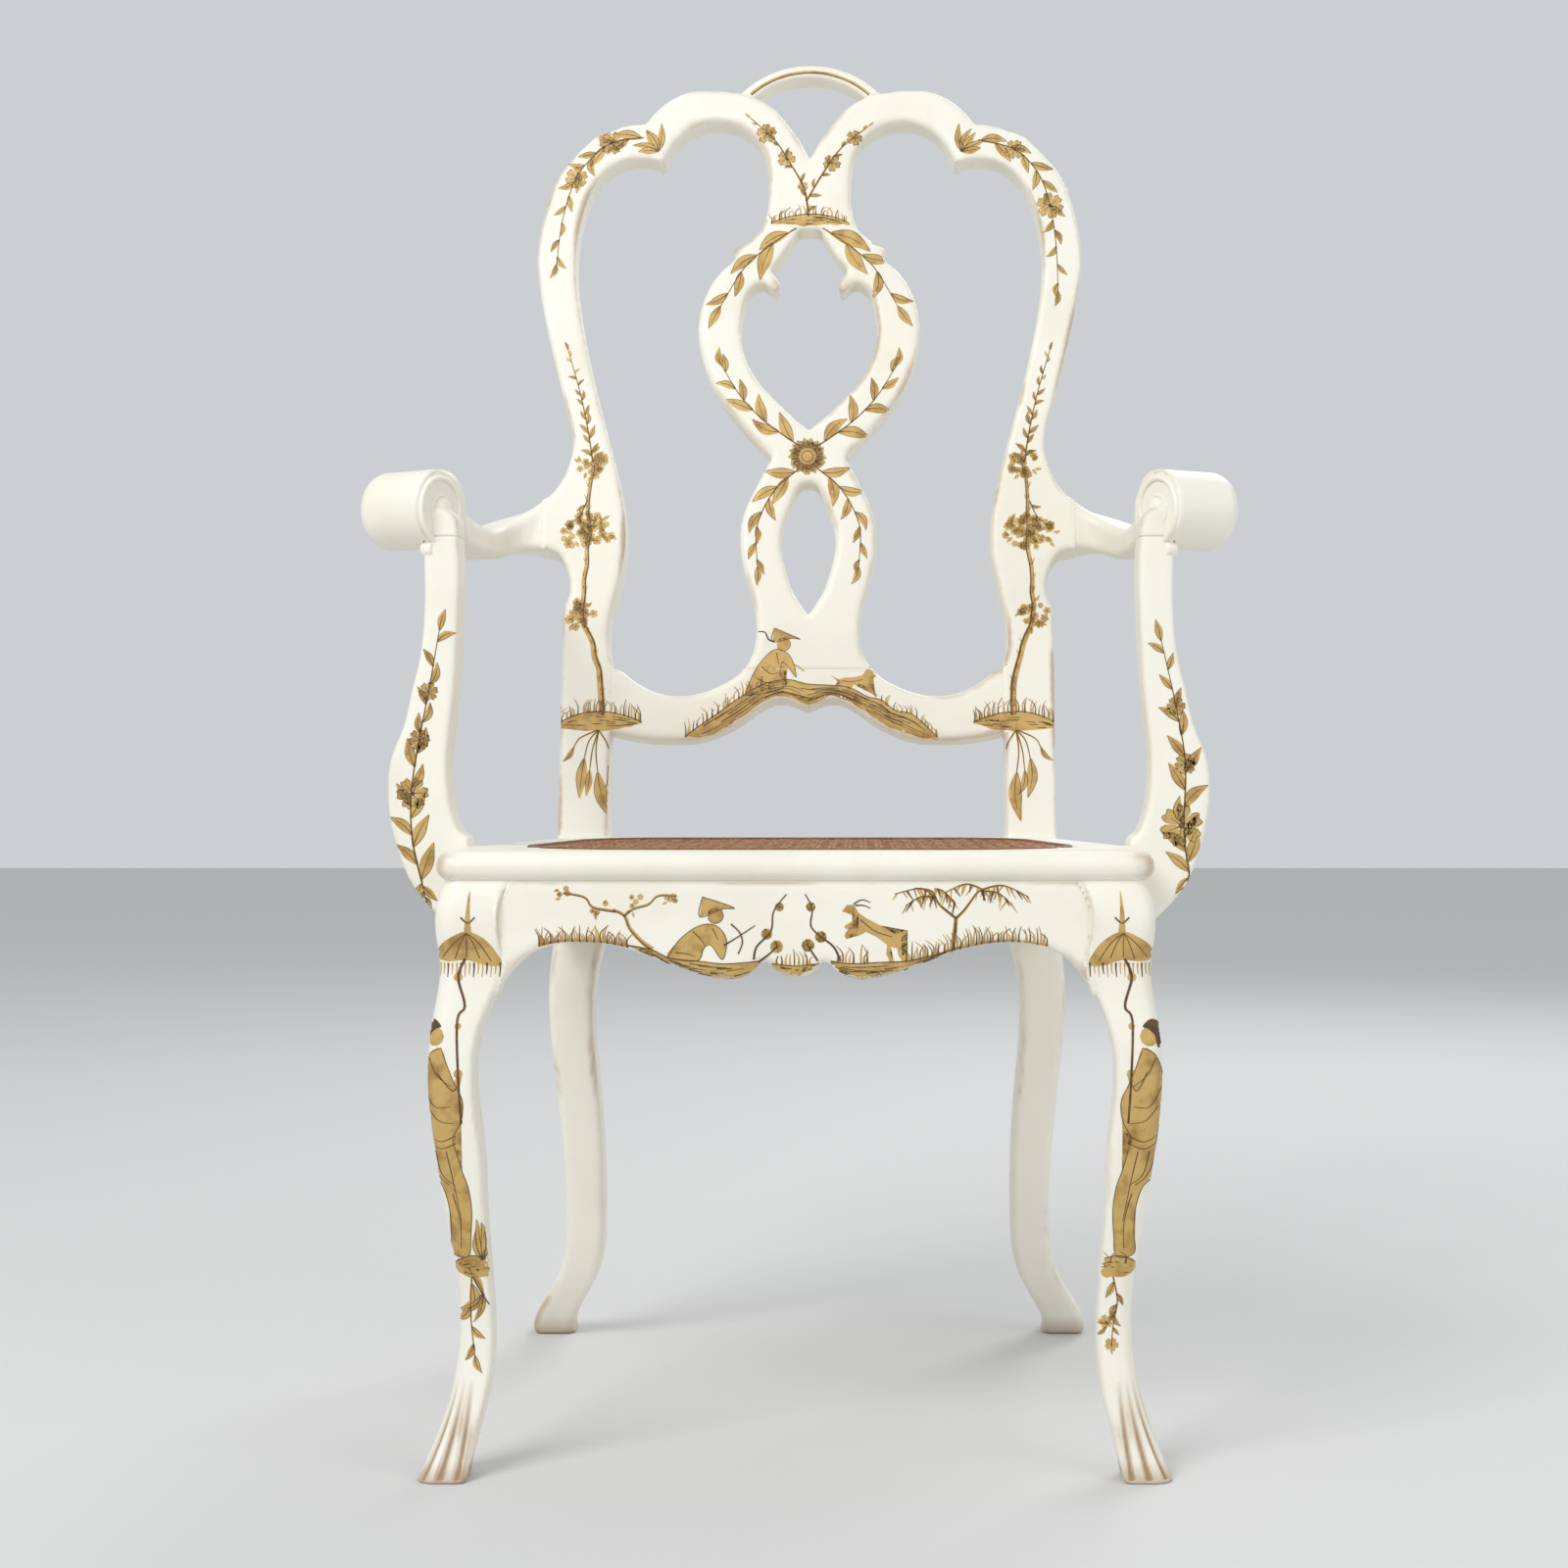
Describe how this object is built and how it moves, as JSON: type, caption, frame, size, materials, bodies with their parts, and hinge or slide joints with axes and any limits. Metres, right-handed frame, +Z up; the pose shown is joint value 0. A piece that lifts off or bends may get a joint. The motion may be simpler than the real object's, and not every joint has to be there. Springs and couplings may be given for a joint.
{
  "type": "armchair",
  "caption": "High-backed painted wooden armchair with a pierced shaped back, scrolled arms on S-shaped posts, bowed legs, a scalloped front apron and a woven cane seat.",
  "frame": {"origin": "on the floor, under the middle of the chair's bounding box", "axes": "+X to the right as seen from the front, +Y from the front of the seat to the back, +Z up"},
  "size_m": [0.6608, 0.5712, 1.1406],
  "materials": {
    "painted_frame": "cream painted wood with rubbed edges and ochre gilt ornament",
    "bare_wood": "unpainted beech, seen only from below or inside the joints",
    "cane": "stained woven cane and reed, satin",
    "screw_steel": "plain steel wood screw"
  },
  "bodies": {
    "root": {"front_leg_right": "painted_frame", "front_leg_left": "painted_frame", "rear_post_right": "painted_frame", "rear_post_left": "painted_frame", "front_rail": "painted_frame", "side_rail_right": "painted_frame", "side_rail_left": "painted_frame", "rear_rail": "painted_frame", "corner_block_front_right": "bare_wood", "corner_block_front_left": "bare_wood", "corner_block_rear_right": "bare_wood", "corner_block_rear_left": "bare_wood", "seat_frame_front": "painted_frame", "seat_frame_right": "painted_frame", "seat_frame_left": "painted_frame", "seat_frame_rear": "painted_frame", "cane_panel": "cane", "cane_reed": "cane", "crest_rail": "painted_frame", "crest_arch": "painted_frame", "splat": "painted_frame", "shoe_rail": "painted_frame", "arm_right": "painted_frame", "arm_left": "painted_frame", "arm_post_right": "painted_frame", "arm_post_left": "painted_frame", "crest_dowels": "bare_wood", "arch_dowels": "bare_wood", "arm_dowels": "bare_wood", "arm_post_dowels": "bare_wood", "arm_post_screws": "screw_steel", "corner_block_screws": "screw_steel", "seat_frame_screws": "screw_steel", "seat_frame_dowels": "bare_wood"}
  },
  "joints": []
}
